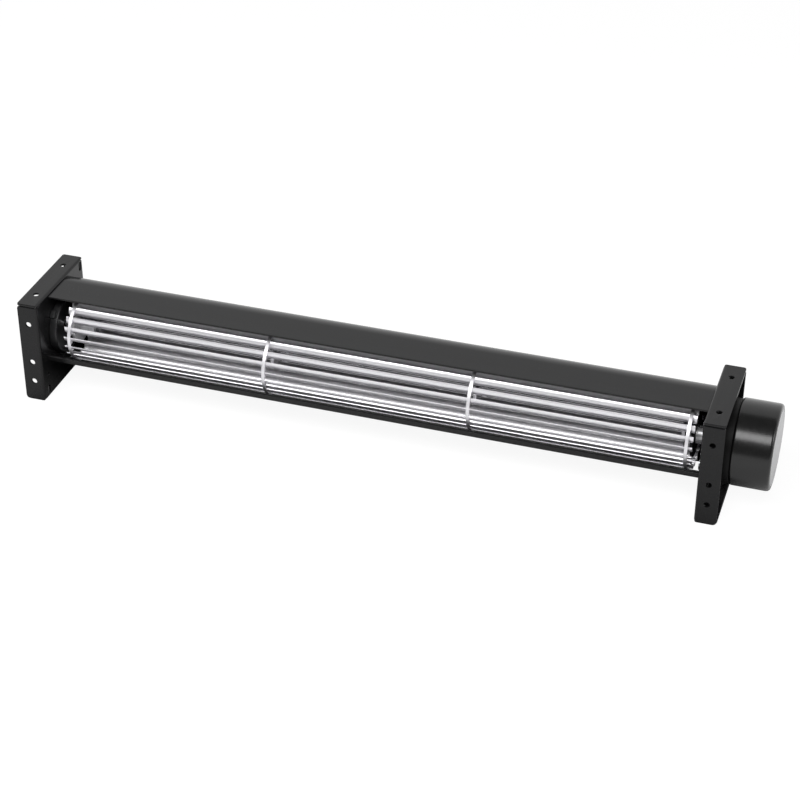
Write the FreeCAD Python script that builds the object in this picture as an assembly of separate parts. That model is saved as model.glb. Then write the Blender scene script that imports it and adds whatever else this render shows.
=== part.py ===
import FreeCAD, Part
import math
import os
from FreeCAD import Vector

# Cross flow fan: a long slatted impeller between two flanged end plates, with a scroll sheet
# above and behind it, a stabiliser sheet below it and a round motor outside the right plate.
# X runs along the impeller towards the motor, Y from the open front to the back and Z up.
# The origin is on the floor, in the middle of the fan's length and depth. Lengths are in
# millimetres. A depth is measured from the front of the plates, and a height from the floor.

# Housing
housing_length = 289.05  # between the inner faces of the end plates
plate_height = 48.2
plate_depth = 46.2
plate_thickness = 1.0
flange_reach = 9.3  # from a plate's inner face to the free edge of its flanges
bend_radius = 1.1  # outside of a bend
relief_reach = 1.5  # from a plate's inner face to where its flanges take their full width
flange_seam = 0.35  # between the end of an upright flange and the level flange over it
flange_corner_radius = 1.2
mount_hole_diameter = 2.6
mount_hole_reach = 4.65  # from a plate's inner face to the holes in its flanges
low_hole_height = 9.5
middle_hole_height = 19.2
high_hole_height = 38.2
near_hole_depth = 9.6
far_hole_depth = 36.8
spare_slot_width = 2.2
spare_slot_length = 4.2
spare_slot_margin_depth = 3.6  # from the corner slots to the nearest flange, across and up
spare_slot_margin_height = 4.6
gauge_hole_diameter = 1.8
gauge_hole_depth = 5.0
gauge_hole_height = 11.1

# Scroll sheet and stabiliser sheet
sheet_thickness = 0.8
scroll_front_depth = 11.3
scroll_back_margin = 3.6  # from the back of the plates to the back of the sheet
scroll_gap = 3.05  # from the discs' rims to the underside of the flat top
scroll_foot_height = 1.0
scroll_radius = 16.6
stabiliser_depth = 4.2
stabiliser_lip_drop = 6.95  # from the axis down to the lip's edge, and to the knee below it
stabiliser_knee_drop = 9.25
stabiliser_gap = 1.05  # from the discs' rims to the slope
stabiliser_foot_height = 4.2
stabiliser_radius = 1.2
tab_width = 5.0
tab_projection = 0.8  # beyond the outer face of the plate
tab_clearance = 0.08
top_tab_depth = 16.5
back_tab_height = 10.0
upper_back_tab_height = 24.0
lower_tab_width = 6.0
lower_tab_margin = 1.2  # from the slope's foot

# Impeller
axis_drop = 20.2  # from the plates' upper edge down to the axis
axis_setback = 1.1  # from the middle of the plates' depth to the axis, towards the front
disc_radius = 15.1
disc_thickness = 1.5
first_disc_offset = 10.4  # from the left plate's inner face to the middle of the left disc
last_disc_offset = 6.85  # from the middle of the right disc to the right plate's inner face
last_segment_extra = 1.05  # by which the segment at the motor is longer than the others
disc_count = 4
middle_disc_bore_radius = 4.0
blade_count = 20
first_blade_angle = 16.2  # of its root, in degrees from the back, over the top
blade_tip_radius = 14.65
blade_root_radius = 11.7
blade_curve_radius = 3.1
blade_thickness = 0.4
blade_overhang = 1.7  # beyond the outer face of each end disc
slot_clearance = 0.02

# Free end: hub, pin and the bearing in its carrier
pin_radius = 2.0
pin_start = -4.2  # from the left plate's inner face, negative into the pan
running_clearance = 0.03
left_hub_radius = 4.0
left_hub_flange_radius = 7.5
left_hub_flange_thickness = 1.4
left_hub_length = 9.0
carrier_rim_radius = 12.8
carrier_rim_width = 1.3
carrier_rim_height = 3.4
carrier_flange_thickness = 2.2
carrier_boss_radius = 8.5
carrier_boss_length = 4.6  # beyond the plate's outer face
carrier_lip_thickness = 0.8
carrier_lip_radius = 2.8
carrier_lug_length = 1.4
carrier_lug_width = 3.0
carrier_screw_circle_radius = 10.9
carrier_hole_clearance = 0.1
rubber_radius = 6.5
sleeve_radius = 4.0
felt_thickness = 1.0
felt_bore_radius = 2.6
bearing_cap_thickness = 0.9
bearing_cap_grip = 2.4

# Screws
small_screw_radius = 1.25
small_head_radius = 2.3
small_head_height = 1.2
motor_screw_radius = 1.5
motor_head_radius = 2.7
motor_head_height = 1.4
screw_hole_clearance = 0.1

# Drive end: hub and rubber coupling
drive_hub_radius = 4.0
drive_hub_inside = 4.0  # beyond the middle of the right disc, into the impeller
drive_hub_outside = 4.7  # and towards the motor
coupling_radius = 9.5
coupling_waist_radius = 8.0
coupling_lip_thickness = 1.2
set_screw_radius = 1.25
set_screw_offset = 3.2  # from the middle of the right disc
set_screw_socket_radius = 0.6

# Motor, axial places measured from the right plate's inner face
motor_radius = 18.05
motor_reach = 27.75
motor_edge_radius = 2.0
motor_wall = 1.2
motor_split = 11.3
split_groove = 0.35
base_floor_thickness = 1.6
base_boss_radius = 7.0
base_boss_projection = 1.4  # past the plate's inner face, towards the impeller
screw_post_radius = 3.0
screw_post_length = 2.6
motor_screw_circle_radius = 13.0
bush_radius = 4.0
bush_housing_radius = 5.4
front_bush_length = 5.4
rear_bush_length = 3.8
cap_floor_thickness = 1.5
label_radius = 14.9
label_thickness = 0.2
board_thickness = 1.2
board_bore_radius = 7.2
board_edge_gap = 0.3  # to the grommet's lip
sensor_width = 3.0
sensor_height = 1.6
sensor_radius = 8.6
core_start = 9.4
core_length = 10.0
core_yoke_width = 2.7
core_bore_share = 0.534  # of the inner radius of the case
tooth_count = 6
tooth_width = 3.6
tooth_shoe_thickness = 1.2
tooth_shoe_gap = 2.4
insulator_thickness = 0.8
insulator_edge_gap = 0.6
coil_build = 2.0
coil_height = 1.7
coil_clearance = 0.1
coil_corner_radius = 0.7
air_gap = 0.45
magnet_overhang = 0.5
magnet_bore_radius = 5.2
neck_radius = 3.4
washer_thickness = 0.6
washer_radius = 3.6
washer_play = 0.1
shaft_end_gap = 0.3
clip_radius = 3.8
clip_thickness = 0.6
clip_groove_depth = 0.5
grommet_radius = 2.2
grommet_waist_radius = 1.5
grommet_bore_radius = 0.9
grommet_lip_thickness = 0.8

# Places worked out from the sizes above
left_face = flange_reach - (flange_reach + housing_length + max(motor_reach, flange_reach)) / 2
right_face = left_face + housing_length
axis_depth = plate_depth / 2 - axis_setback
axis_y = axis_depth - plate_depth / 2
axis_height = plate_height - axis_drop
scroll_back_depth = plate_depth - scroll_back_margin
scroll_top_height = axis_height + disc_radius + scroll_gap + sheet_thickness
first_disc_x = left_face + first_disc_offset
last_disc_x = right_face - last_disc_offset
disc_pitch = (last_disc_x - first_disc_x - last_segment_extra) / (disc_count - 1)
blade_start = first_disc_x - disc_thickness / 2 - blade_overhang
blade_end = last_disc_x + disc_thickness / 2 + blade_overhang
motor_inner_radius = motor_radius - motor_wall
plate_outside = right_face + plate_thickness
base_floor = plate_outside + base_floor_thickness
post_end = base_floor + screw_post_length
front_bush_end = right_face - base_boss_projection + front_bush_length
core_bore_radius = core_bore_share * motor_inner_radius
core_front = right_face + core_start
core_back = core_front + core_length
cap_floor = right_face + motor_reach - cap_floor_thickness
rear_bush_start = cap_floor - rear_bush_length
magnet_radius = core_bore_radius - air_gap
drive_hub_start = last_disc_x - drive_hub_inside
drive_hub_end = last_disc_x + drive_hub_outside
carrier_boss_end = left_face - plate_thickness - carrier_boss_length

ALONG = Vector(1, 0, 0)
THREE_PLACES = (90, 210, 330)  # degrees around the axis, from the back over the top


def across(x):
    """Places (depth, height) in the plane at x, square to the impeller."""
    return lambda depth, height: Vector(x, depth - plate_depth / 2, height)


def beside_axis(x, radius):
    """Places (x, distance from the axis) in the upright plane through the axis."""
    return Vector(x, axis_y, axis_height + radius)


def around(x, radius, degrees):
    """A point at a distance from the axis, turned from the back over the top."""
    turn = math.radians(degrees)
    return Vector(x, axis_y + radius * math.cos(turn), axis_height + radius * math.sin(turn))


def outline(place, start, *steps):
    """A face inside a closed run of lines (end) and arcs (middle, end)."""
    edges = []
    here = start
    for step in steps + (start,):
        if isinstance(step[0], tuple):
            middle, end = step
            edges.append(Part.Arc(place(*here), place(*middle), place(*end)).toShape())
        else:
            end = step
            if end != here:
                edges.append(Part.LineSegment(place(*here), place(*end)).toShape())
        here = end
    return Part.Face(Part.Wire(edges))


def turned(start, *steps):
    """A solid of revolution about the impeller's axis from an (x, radius) outline."""
    return outline(beside_axis, start, *steps).revolve(beside_axis(0, 0), ALONG, 360)


def ring(start, end, outer, inner):
    return turned((start, inner), (end, inner), (end, outer), (start, outer))


def rod(start, end, radius, centre=None):
    centre = centre or beside_axis(0, 0)
    return Part.makeCylinder(radius, end - start, Vector(start, centre.y, centre.z), ALONG)


def spun(shape, degrees):
    """A copy turned about the impeller's axis."""
    copy = shape.copy()
    copy.rotate(beside_axis(0, 0), ALONG, degrees)
    return copy


def radial_block(start, end, inner, outer, width):
    """A block that stands straight back from the axis, between two radii."""
    corner = Vector(start, axis_y + inner, axis_height - width / 2)
    return Part.makeBox(end - start, outer - inner, width, corner)


def bent_strip(place, points, radius, left, right):
    """The face between two lines beside a path of straight runs and equal bends.

    The lines run at the distances left and right of the path, seen in its direction,
    and share the centres of its bends.
    """
    def side(offset):
        lines = []
        arcs = []
        for (y0, z0), (y1, z1) in zip(points, points[1:]):
            length = math.hypot(y1 - y0, z1 - z0)
            lines.append(((y1 - y0) / length, (z1 - z0) / length))
        for corner, (ay, az), (by, bz) in zip(points[1:-1], lines, lines[1:]):
            turn = 1 if ay * bz - az * by > 0 else -1
            tangent = radius * math.tan(math.acos(ay * by + az * bz) / 2)
            centre = (corner[0] - ay * tangent - turn * radius * az,
                      corner[1] - az * tangent + turn * radius * ay)
            away = math.hypot(corner[0] - centre[0], corner[1] - centre[1])
            reach = radius - turn * offset
            arcs.append((
                (centre[0] + turn * reach * az, centre[1] - turn * reach * ay),
                (centre[0] + (corner[0] - centre[0]) * reach / away,
                 centre[1] + (corner[1] - centre[1]) * reach / away),
                (centre[0] + turn * reach * bz, centre[1] - turn * reach * by),
            ))
        first = (points[0][0] - offset * lines[0][1], points[0][1] + offset * lines[0][0])
        last = (points[-1][0] - offset * lines[-1][1], points[-1][1] + offset * lines[-1][0])
        return first, arcs, last

    first, arcs, last = side(left)
    steps = []
    for begin, middle, end in arcs:
        steps += [begin, (middle, end)]
    steps.append(last)
    back_first, back_arcs, back_last = side(right)
    steps.append(back_last)
    for begin, middle, end in reversed(back_arcs):
        steps += [end, (middle, begin)]
    steps.append(back_first)
    return outline(place, first, *steps)


def scroll_section(x, grow=0.0):
    """Flat over the impeller's top, round the back and straight down behind it."""
    path = ((scroll_front_depth, scroll_top_height), (scroll_back_depth, scroll_top_height),
            (scroll_back_depth, scroll_foot_height))
    return bent_strip(across(x), path, scroll_radius, grow, -sheet_thickness - grow)


def stabiliser_foot_depth():
    """Where the slope, which leaves the knee as a tangent round the impeller, ends."""
    back, up = axis_depth - stabiliser_depth, stabiliser_knee_drop
    reach = disc_radius + stabiliser_gap + sheet_thickness
    dip = math.asin(min(1.0, reach / math.hypot(back, up))) - math.atan2(up, back)
    fall = axis_height - stabiliser_knee_drop - stabiliser_foot_height
    return stabiliser_depth + fall / math.tan(dip)


def stabiliser_section(x, grow=0.0):
    """A short upright lip in front, then a slope that passes close under the impeller."""
    path = ((stabiliser_depth, axis_height - stabiliser_lip_drop),
            (stabiliser_depth, axis_height - stabiliser_knee_drop),
            (stabiliser_foot_depth(), stabiliser_foot_height))
    return bent_strip(across(x), path, stabiliser_radius, sheet_thickness + grow, -grow)


def tab_windows(start, length, grow=0.0):
    """Blocks that pick out the stretches of each sheet's section that carry a tab."""
    front = -plate_depth / 2

    def band(low, high, floor, roof):
        return Part.makeBox(length, high - low, roof - floor, Vector(start, low, floor))

    def at_depth(depth, half, floor, roof):
        return band(front + depth - half, front + depth + half, floor, roof)

    half = tab_width / 2 + grow
    scroll = [at_depth(top_tab_depth, half, axis_height, plate_height)]
    for height in (back_tab_height, upper_back_tab_height):
        scroll.append(band(axis_y, -front, height - half, height + half))
    depth = stabiliser_foot_depth() - lower_tab_margin - lower_tab_width / 2
    return scroll, [at_depth(depth, lower_tab_width / 2 + grow, 0, axis_height)]


def sheet(section, windows_index):
    """A bent sheet with the tabs that go through the slots in both end plates."""
    body = section(left_face).extrude(ALONG * housing_length)
    reach = plate_thickness + tab_projection
    for start in (left_face - reach, right_face):
        strip = section(start).extrude(ALONG * reach)
        for window in tab_windows(start, reach)[windows_index]:
            body = body.fuse(strip.common(window))
    return body.removeSplitter()


def tab_slots(start):
    """The slots for the tabs of both sheets in one end plate."""
    cuts = []
    for section, windows in zip((scroll_section, stabiliser_section),
                                tab_windows(start, plate_thickness, tab_clearance)):
        strip = section(start, tab_clearance).extrude(ALONG * plate_thickness)
        cuts += [strip.common(window) for window in windows]
    return cuts


def channel(place, width):
    """A web with a flange on both sides, as (distance outward, place across) in a plane."""
    reach, wall, bend = flange_reach, plate_thickness, bend_radius
    outer = bend * (1 - math.sqrt(0.5))
    inner = bend - (bend - wall) * math.sqrt(0.5)
    return outline(
        place, (reach, 0), (bend, 0), ((outer, outer), (0, bend)), (0, width - bend),
        ((outer, width - outer), (bend, width)), (reach, width), (reach, width - wall),
        (bend, width - wall), ((inner, width - inner), (wall, width - bend)), (wall, bend),
        ((inner, inner), (bend, wall)), (reach, wall))


def rounded_tongue(place, width, margin):
    """The outline of a flange's face, wider past the relief at its bend.

    Its sides end at the margin from the plate's own sides, and its free corners are rounded.
    """
    neck, relief, reach, corner = bend_radius, relief_reach, flange_reach, flange_corner_radius
    cut = corner * (1 - math.sqrt(0.5))
    low, high = margin, width - margin
    return outline(
        place, (0, neck), (relief, neck), (relief, low), (reach - corner, low),
        ((reach - cut, low + cut), (reach, low + corner)), (reach, high - corner),
        ((reach - cut, high - cut), (reach - corner, high)), (relief, high),
        (relief, width - neck), (0, width - neck))


def obround(start, length, centre, width, height):
    """An upright slot with round ends through a plate."""
    straight = height - width
    block = Part.makeBox(length, width, straight,
                         Vector(start, centre.y - width / 2, centre.z - straight / 2))
    for side in (-1, 1):
        end = Vector(0, centre.y, centre.z + side * straight / 2)
        block = block.fuse(rod(start, start + length, width / 2, end))
    return block


def end_plate(face, outward, centre_hole, screw_hole, screw_circle):
    """A pan folded from one sheet: a web with four flanges bent away from the impeller."""
    front = -plate_depth / 2

    def top_view(out, depth):
        return Vector(face + outward * out, front + depth, 0)

    def side_view(out, height):
        return Vector(face + outward * out, front, height)

    def side_channel(out, depth):
        return Vector(face + outward * out, front + depth, bend_radius)

    level = channel(side_view, plate_height).extrude(Vector(0, plate_depth, 0))
    level = level.common(rounded_tongue(top_view, plate_depth, 0).extrude(
        Vector(0, 0, plate_height)))
    upright = channel(side_channel, plate_depth).extrude(
        Vector(0, 0, plate_height - 2 * bend_radius))
    margin = plate_thickness + flange_seam
    upright = upright.common(rounded_tongue(side_view, plate_height, margin).extrude(
        Vector(0, plate_depth, 0)))
    pan = level.fuse(upright)

    hole_x = face + outward * mount_hole_reach
    hole_radius = mount_hole_diameter / 2
    cuts = [Part.makeCylinder(hole_radius, plate_depth, Vector(hole_x, front, height),
                              Vector(0, 1, 0))
            for height in (low_hole_height, middle_hole_height, high_hole_height)]
    cuts += [Part.makeCylinder(hole_radius, plate_height, Vector(hole_x, front + depth, 0))
             for depth in (near_hole_depth, far_hole_depth)]

    web = min(face, face + outward * plate_thickness)
    cuts += tab_slots(web)
    cuts.append(rod(web, web + plate_thickness, centre_hole))
    for degrees in THREE_PLACES:
        cuts.append(rod(web, web + plate_thickness, screw_hole,
                        around(0, screw_circle, degrees)))
    lower = across(0)(plate_thickness + spare_slot_margin_depth,
                      plate_thickness + spare_slot_margin_height - spare_slot_length / 2)
    upper = across(0)(plate_depth - plate_thickness - spare_slot_margin_depth / 2,
                      plate_height - plate_thickness - spare_slot_margin_height / 2)
    for centre in (lower, upper):
        cuts.append(obround(web, plate_thickness, centre, spare_slot_width, spare_slot_length))
    cuts.append(rod(web, web + plate_thickness, gauge_hole_diameter / 2,
                    across(0)(gauge_hole_depth, gauge_hole_height)))
    return pan.cut(cuts).removeSplitter()


def blade_section(x, grow=0.0):
    """A thin bow from the root circle to the tip circle, radial at its root.

    Its tip leans the way that takes a blade at the front upwards.
    """
    centre_radius = math.hypot(blade_root_radius, blade_curve_radius)
    half = blade_thickness / 2 + grow
    root = math.atan2(blade_curve_radius, blade_root_radius)
    # Seen from the bow's centre, the root lies at one angle and the tip at another.
    cosine = ((centre_radius ** 2 + blade_curve_radius ** 2 - blade_tip_radius ** 2)
              / (2 * centre_radius * blade_curve_radius))
    tip_angle = math.pi - math.acos(max(-1.0, min(1.0, cosine)))
    cosine = ((centre_radius ** 2 + blade_curve_radius ** 2 - blade_root_radius ** 2)
              / (2 * centre_radius * blade_curve_radius))
    root_angle = math.pi - math.acos(max(-1.0, min(1.0, cosine)))
    spare = grow / blade_curve_radius
    start = root + root_angle + spare
    end = root + tip_angle - spare
    centre_y = centre_radius * math.cos(root)
    centre_z = -centre_radius * math.sin(root)

    def at(reach, angle):
        return (centre_y + reach * math.cos(angle), centre_z - reach * math.sin(angle))

    def place(y, z):
        return Vector(x, axis_y + y, axis_height + z)

    near, far = blade_curve_radius - half, blade_curve_radius + half
    middle = (start + end) / 2
    return outline(place, at(near, start), (at(near, middle), at(near, end)),
                   at(far, end), (at(far, middle), at(far, start)))


def blade_angles():
    return [first_blade_angle + 360 * number / blade_count for number in range(blade_count)]


def blades():
    """Every blade is one bowed strip that goes through the slots of all the discs."""
    strip = blade_section(blade_start).extrude(ALONG * (blade_end - blade_start))
    return [spun(strip, degrees) for degrees in blade_angles()]


def disc(middle_x, bore):
    """A round plate with one closed slot for each blade near its edge."""
    start = middle_x - disc_thickness / 2
    slot = blade_section(start, slot_clearance).extrude(ALONG * disc_thickness)
    slots = [spun(slot, degrees) for degrees in blade_angles()]
    return ring(start, start + disc_thickness, disc_radius, bore).cut(slots)


def pan_head_screw(centre, seat, towards, shank_radius, length, head_radius, head_height):
    """A screw along X: its head stands on the seat, and its shank goes the other way."""
    edge = head_height / 2
    tip = seat - towards * length

    def profile(x, radius):
        return Vector(x, centre.y, centre.z + radius)

    return outline(
        profile, (tip, 0), (tip, shank_radius), (seat, shank_radius), (seat, head_radius),
        (seat + towards * (head_height - edge), head_radius),
        (seat + towards * head_height, head_radius - edge),
        (seat + towards * head_height, 0)).revolve(profile(0, 0), ALONG, 360)


def bearing_carrier():
    """A moulded cup on the left plate's inner face, with a boss through the plate."""
    rim = carrier_rim_radius
    rim_top = left_face + carrier_rim_height
    bore_end = left_face + carrier_flange_thickness - carrier_lip_thickness
    body = turned(
        (carrier_boss_end, rubber_radius), (bore_end, rubber_radius),
        (bore_end, carrier_lip_radius),
        (left_face + carrier_flange_thickness, carrier_lip_radius),
        (left_face + carrier_flange_thickness, rim - carrier_rim_width),
        (rim_top, rim - carrier_rim_width), (rim_top, rim), (left_face, rim),
        (left_face, carrier_boss_radius), (carrier_boss_end, carrier_boss_radius))
    for degrees in (15, 135, 255):
        lug = radial_block(left_face, left_face + carrier_flange_thickness,
                           rim - carrier_rim_width, rim + carrier_lug_length, carrier_lug_width)
        body = body.fuse(spun(lug, degrees))
    holes = [rod(left_face, left_face + carrier_flange_thickness * 0.8, small_screw_radius,
                 around(0, carrier_screw_circle_radius, degrees)) for degrees in THREE_PLACES]
    return body.cut(holes).removeSplitter()


def bearing_cap():
    """A pressed cup that closes the outer end of the carrier's boss."""
    wall = bearing_cap_thickness
    outer = carrier_boss_radius + wall
    floor = carrier_boss_end
    start = floor - wall
    return turned(
        (start, 0), (start, outer - wall), (floor, outer),
        (floor + bearing_cap_grip, outer), (floor + bearing_cap_grip, carrier_boss_radius),
        (floor, carrier_boss_radius), (floor, 0))


def left_hub():
    """A turned hub: its flange lies on the left disc, and its neck goes through the disc."""
    disc_outer = first_disc_x - disc_thickness / 2
    flange_start = disc_outer - left_hub_flange_thickness
    return turned(
        (flange_start, pin_radius), (flange_start, left_hub_flange_radius),
        (disc_outer, left_hub_flange_radius), (disc_outer, left_hub_radius),
        (flange_start + left_hub_length, left_hub_radius),
        (flange_start + left_hub_length, pin_radius))


def hub_coupling():
    """A grooved rubber ring between the right disc and the drive hub."""
    half = disc_thickness / 2
    lip = coupling_lip_thickness
    return turned(
        (last_disc_x - half - lip, drive_hub_radius), (last_disc_x + half + lip, drive_hub_radius),
        (last_disc_x + half + lip, coupling_radius), (last_disc_x + half, coupling_radius),
        (last_disc_x + half, coupling_waist_radius), (last_disc_x - half, coupling_waist_radius),
        (last_disc_x - half, coupling_radius), (last_disc_x - half - lip, coupling_radius))


def set_screw_place():
    return Vector(last_disc_x + set_screw_offset, axis_y, axis_height + pin_radius)


def set_screw():
    length = drive_hub_radius - pin_radius
    place = set_screw_place()
    body = Part.makeCylinder(set_screw_radius, length, place)
    socket = Part.makeCylinder(set_screw_socket_radius, length / 2,
                               place + Vector(0, 0, length / 2))
    return body.cut(socket)


def drive_hub():
    """A turned sleeve that clamps on the motor shaft with one set screw."""
    body = ring(drive_hub_start, drive_hub_end, drive_hub_radius, pin_radius)
    on_axis = Vector(set_screw_place().x, axis_y, axis_height)
    return body.cut(Part.makeCylinder(set_screw_radius, 2 * drive_hub_radius, on_axis))


def motor_base():
    """The front half of the motor's case, on the right plate's outer face."""
    outer, inner = motor_radius, motor_inner_radius
    boss_start = right_face - base_boss_projection
    split = right_face + motor_split
    body = turned(
        (boss_start, bush_radius), (boss_start, base_boss_radius),
        (plate_outside, base_boss_radius), (plate_outside, outer), (split, outer),
        (split, inner), (base_floor, inner),
        (base_floor, bush_housing_radius), (front_bush_end, bush_housing_radius),
        (front_bush_end, bush_radius))
    for degrees in THREE_PLACES:
        centre = around(0, motor_screw_circle_radius, degrees)
        body = body.fuse(rod(base_floor, post_end, screw_post_radius, centre))
    holes = [rod(plate_outside, post_end, motor_screw_radius,
                 around(0, motor_screw_circle_radius, degrees)) for degrees in THREE_PLACES]
    holes.append(Part.makeCylinder(grommet_waist_radius, motor_radius,
                                   Vector(grommet_x(), axis_y, axis_height), Vector(0, 0, -1)))
    return body.cut(holes).removeSplitter()


def motor_cap():
    """The rear half of the case: a cup with an edge in two bevels and a seat for a plate."""
    outer, inner, soft = motor_radius, motor_inner_radius, motor_edge_radius
    split = right_face + motor_split
    end = right_face + motor_reach
    cut = soft * (1 - math.sqrt(0.5))
    return turned(
        (split, inner), (split, outer - split_groove), (split + split_groove, outer),
        (end - soft, outer), (end - cut, outer - cut), (end, outer - soft),
        (end, label_radius), (end - label_thickness, label_radius), (end - label_thickness, 0),
        (cap_floor, 0), (cap_floor, bush_radius), (rear_bush_start, bush_radius),
        (rear_bush_start, bush_housing_radius), (cap_floor, bush_housing_radius),
        (cap_floor, inner))


def grommet_x():
    """Midway between the base's floor and the front of the stator."""
    return (base_floor + core_front) / 2


def lead_grommet():
    """A grooved rubber ring in the bottom of the case, where the leads come out."""
    lip = grommet_lip_thickness

    def down(radius, drop):
        return Vector(grommet_x() + radius, axis_y, axis_height - drop)

    # The inner lip is flat, so it meets the round wall at its edge.
    inner, outer = math.sqrt(motor_inner_radius ** 2 - grommet_radius ** 2), motor_radius
    return outline(
        down, (grommet_bore_radius, inner - lip), (grommet_bore_radius, outer + lip),
        (grommet_radius, outer + lip), (grommet_radius, outer), (grommet_waist_radius, outer),
        (grommet_waist_radius, inner), (grommet_radius, inner),
        (grommet_radius, inner - lip)).revolve(down(0, 0), Vector(0, 0, 1), 360)


def stator_core():
    """A stack of ring plates with teeth that point at the magnet."""
    body = ring(core_front, core_back, motor_inner_radius, motor_inner_radius - core_yoke_width)
    shoes = ring(core_front, core_back, core_bore_radius + tooth_shoe_thickness, core_bore_radius)
    for number in range(tooth_count):
        gap = radial_block(core_front, core_back, core_bore_radius - tooth_shoe_thickness,
                           core_bore_radius + 2 * tooth_shoe_thickness, tooth_shoe_gap)
        shoes = shoes.cut(spun(gap, 360 * (number + 0.5) / tooth_count))
    for number in range(tooth_count):
        tooth = radial_block(core_front, core_back, core_bore_radius + tooth_shoe_thickness / 2,
                             motor_inner_radius - core_yoke_width / 2, tooth_width)
        body = body.fuse(spun(tooth, 360 * number / tooth_count))
    return body.fuse(shoes).removeSplitter()


def insulator(start):
    """A thin spider that keeps the windings off one end of the stack."""
    end = start + insulator_thickness
    outer = motor_inner_radius - insulator_edge_gap
    body = ring(start, end, outer, motor_inner_radius - core_yoke_width)
    for number in range(tooth_count):
        tooth = radial_block(start, end, core_bore_radius + tooth_shoe_thickness / 2,
                             motor_inner_radius - core_yoke_width / 2, tooth_width)
        body = body.fuse(spun(tooth, 360 * number / tooth_count))
    return body.removeSplitter()


def coils():
    """One winding round each tooth, as a rounded block with a window."""
    inner = core_bore_radius + tooth_shoe_thickness + coil_clearance
    width = tooth_width + 2 * (coil_clearance + coil_build)
    yoke = motor_inner_radius - core_yoke_width
    outer = math.sqrt(yoke ** 2 - (width / 2) ** 2) - coil_clearance
    start = core_front - insulator_thickness
    end = core_back + insulator_thickness
    block = radial_block(start - coil_height, end + coil_height, inner, outer, width)
    long_edges = [edge for edge in block.Edges
                  if abs(edge.tangentAt(edge.FirstParameter).y) > 0.9]
    block = block.makeFillet(coil_corner_radius, long_edges)
    window = radial_block(start, end, inner, outer, tooth_width + 2 * coil_clearance)
    coil = block.cut(window)
    return [spun(coil, 360 * number / tooth_count) for number in range(tooth_count)]


def circuit_board():
    """A round board on the screw posts, with its bore round the bush housing."""
    outer = motor_inner_radius - grommet_lip_thickness - board_edge_gap
    return ring(post_end, post_end + board_thickness, outer, board_bore_radius)


def hall_sensor():
    """A small chip on the board that looks at the end of the magnet."""
    start = post_end + board_thickness
    chip = radial_block(start, start + sensor_height, sensor_radius - sensor_height / 2,
                        sensor_radius + sensor_height / 2, sensor_width)
    return spun(chip, 180 / tooth_count)


def motor_shaft():
    """The shaft carries the magnet and reaches through the plate into the drive hub."""
    body = rod(drive_hub_start, cap_floor - shaft_end_gap, pin_radius)
    groove = ring(clip_start(), clip_start() + clip_thickness, clip_radius,
                  pin_radius - clip_groove_depth)
    return body.cut(groove)


def clip_start():
    """The clip sits in its groove just outside the base's boss."""
    return right_face - base_boss_projection - washer_play - clip_thickness


def retaining_clip():
    """A spring clip with an open mouth, in a groove of the shaft."""
    body = ring(clip_start(), clip_start() + clip_thickness, clip_radius,
                pin_radius - clip_groove_depth)
    mouth = radial_block(clip_start(), clip_start() + clip_thickness, 0, 2 * clip_radius,
                         2 * (pin_radius - clip_groove_depth))
    return body.cut(spun(mouth, 90))


def rotor_sleeve():
    """The steel sleeve under the magnet, with a neck that meets the front washer."""
    start = front_bush_end + washer_play * 2 + washer_thickness
    shoulder = core_front - magnet_overhang
    end = rear_bush_start - washer_thickness - washer_play * 2
    back = core_back + magnet_overhang
    return turned(
        (start, pin_radius), (start, neck_radius), (shoulder, neck_radius),
        (shoulder, magnet_bore_radius), (back, magnet_bore_radius), (back, neck_radius),
        (end, neck_radius), (end, pin_radius))


def thrust_washer(start):
    return ring(start, start + washer_thickness, washer_radius, pin_radius)


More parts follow.
